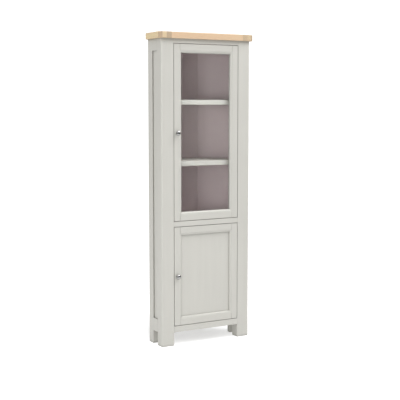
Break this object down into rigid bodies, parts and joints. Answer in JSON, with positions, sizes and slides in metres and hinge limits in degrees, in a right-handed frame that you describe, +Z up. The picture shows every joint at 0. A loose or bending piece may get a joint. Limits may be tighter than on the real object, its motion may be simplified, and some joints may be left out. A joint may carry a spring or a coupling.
{
  "type": "corner cupboard",
  "caption": "Tall painted corner cupboard with an oak top, a glazed door over shelves and a panelled door below, both hinged on the right.",
  "frame": {"origin": "on the floor, at the centre of the outline of the cupboard with its knobs seen from above", "axes": "+X to the right as the doors are faced, +Y back into the corner, +Z up"},
  "size_m": [0.62, 0.3682, 1.8],
  "materials": {
    "paint": "warm pale grey paint, eggshell",
    "inside": "taupe paint, matt",
    "oak": "pale oak, satin lacquer",
    "chrome": "polished",
    "steel": "nickel plated",
    "catch": "moulded",
    "glass": "clear"
  },
  "bodies": {
    "carcass": {"oak_top_panel": "oak", "oak_top_end_left": "oak", "oak_top_end_right": "oak", "front_post_left": "paint", "front_post_right": "paint", "rear_post_left": "paint", "rear_post_right": "paint", "back_leg_left": "paint", "back_leg_right": "paint", "side_top_rail_left": "paint", "side_top_rail_right": "paint", "side_bottom_rail_left": "paint", "side_bottom_rail_right": "paint", "side_panel_left": "paint", "side_panel_right": "paint", "front_top_rail": "paint", "front_mid_rail": "paint", "front_bottom_rail": "paint", "back_panel_left": "inside", "back_panel_centre": "inside", "back_panel_right": "inside", "ceiling_board": "inside", "mid_board": "inside", "base_board": "inside", "shelf_1": "paint", "shelf_2": "paint", "shelf_1_pin_front_left": "steel", "shelf_1_pin_front_right": "steel", "shelf_1_pin_rear_left": "steel", "shelf_1_pin_rear_right": "steel", "shelf_2_pin_front_left": "steel", "shelf_2_pin_front_right": "steel", "shelf_2_pin_rear_left": "steel", "shelf_2_pin_rear_right": "steel", "upper_hinge_arm_top": "steel", "upper_hinge_arm_bottom": "steel", "lower_hinge_arm_top": "steel", "lower_hinge_arm_bottom": "steel", "upper_catch": "catch", "lower_catch": "catch"},
    "upper_door": {"upper_door_rail_bottom": "paint", "upper_door_rail_top": "paint", "upper_door_stile_left": "paint", "upper_door_stile_right": "paint", "upper_door_glass": "glass", "upper_door_glass_retainer": "paint", "upper_door_knob": "chrome", "upper_door_strike": "steel", "upper_door_hinge_cup_top": "steel", "upper_door_hinge_cup_bottom": "steel"},
    "lower_door": {"lower_door_rail_bottom": "paint", "lower_door_rail_top": "paint", "lower_door_stile_left": "paint", "lower_door_stile_right": "paint", "lower_door_panel": "paint", "lower_door_knob": "chrome", "lower_door_strike": "steel", "lower_door_hinge_cup_top": "steel", "lower_door_hinge_cup_bottom": "steel"}
  },
  "joints": [
    {"name": "upper_door_hinge", "type": "hinge", "parent": "carcass", "child": "upper_door", "pos_m": [0.2125, -0.15785, 1.2315], "axis": [0, 0, 1], "range_deg": [0, 110]},
    {"name": "lower_door_hinge", "type": "hinge", "parent": "carcass", "child": "lower_door", "pos_m": [0.2125, -0.15785, 0.4045], "axis": [0, 0, 1], "range_deg": [0, 110]}
  ]
}
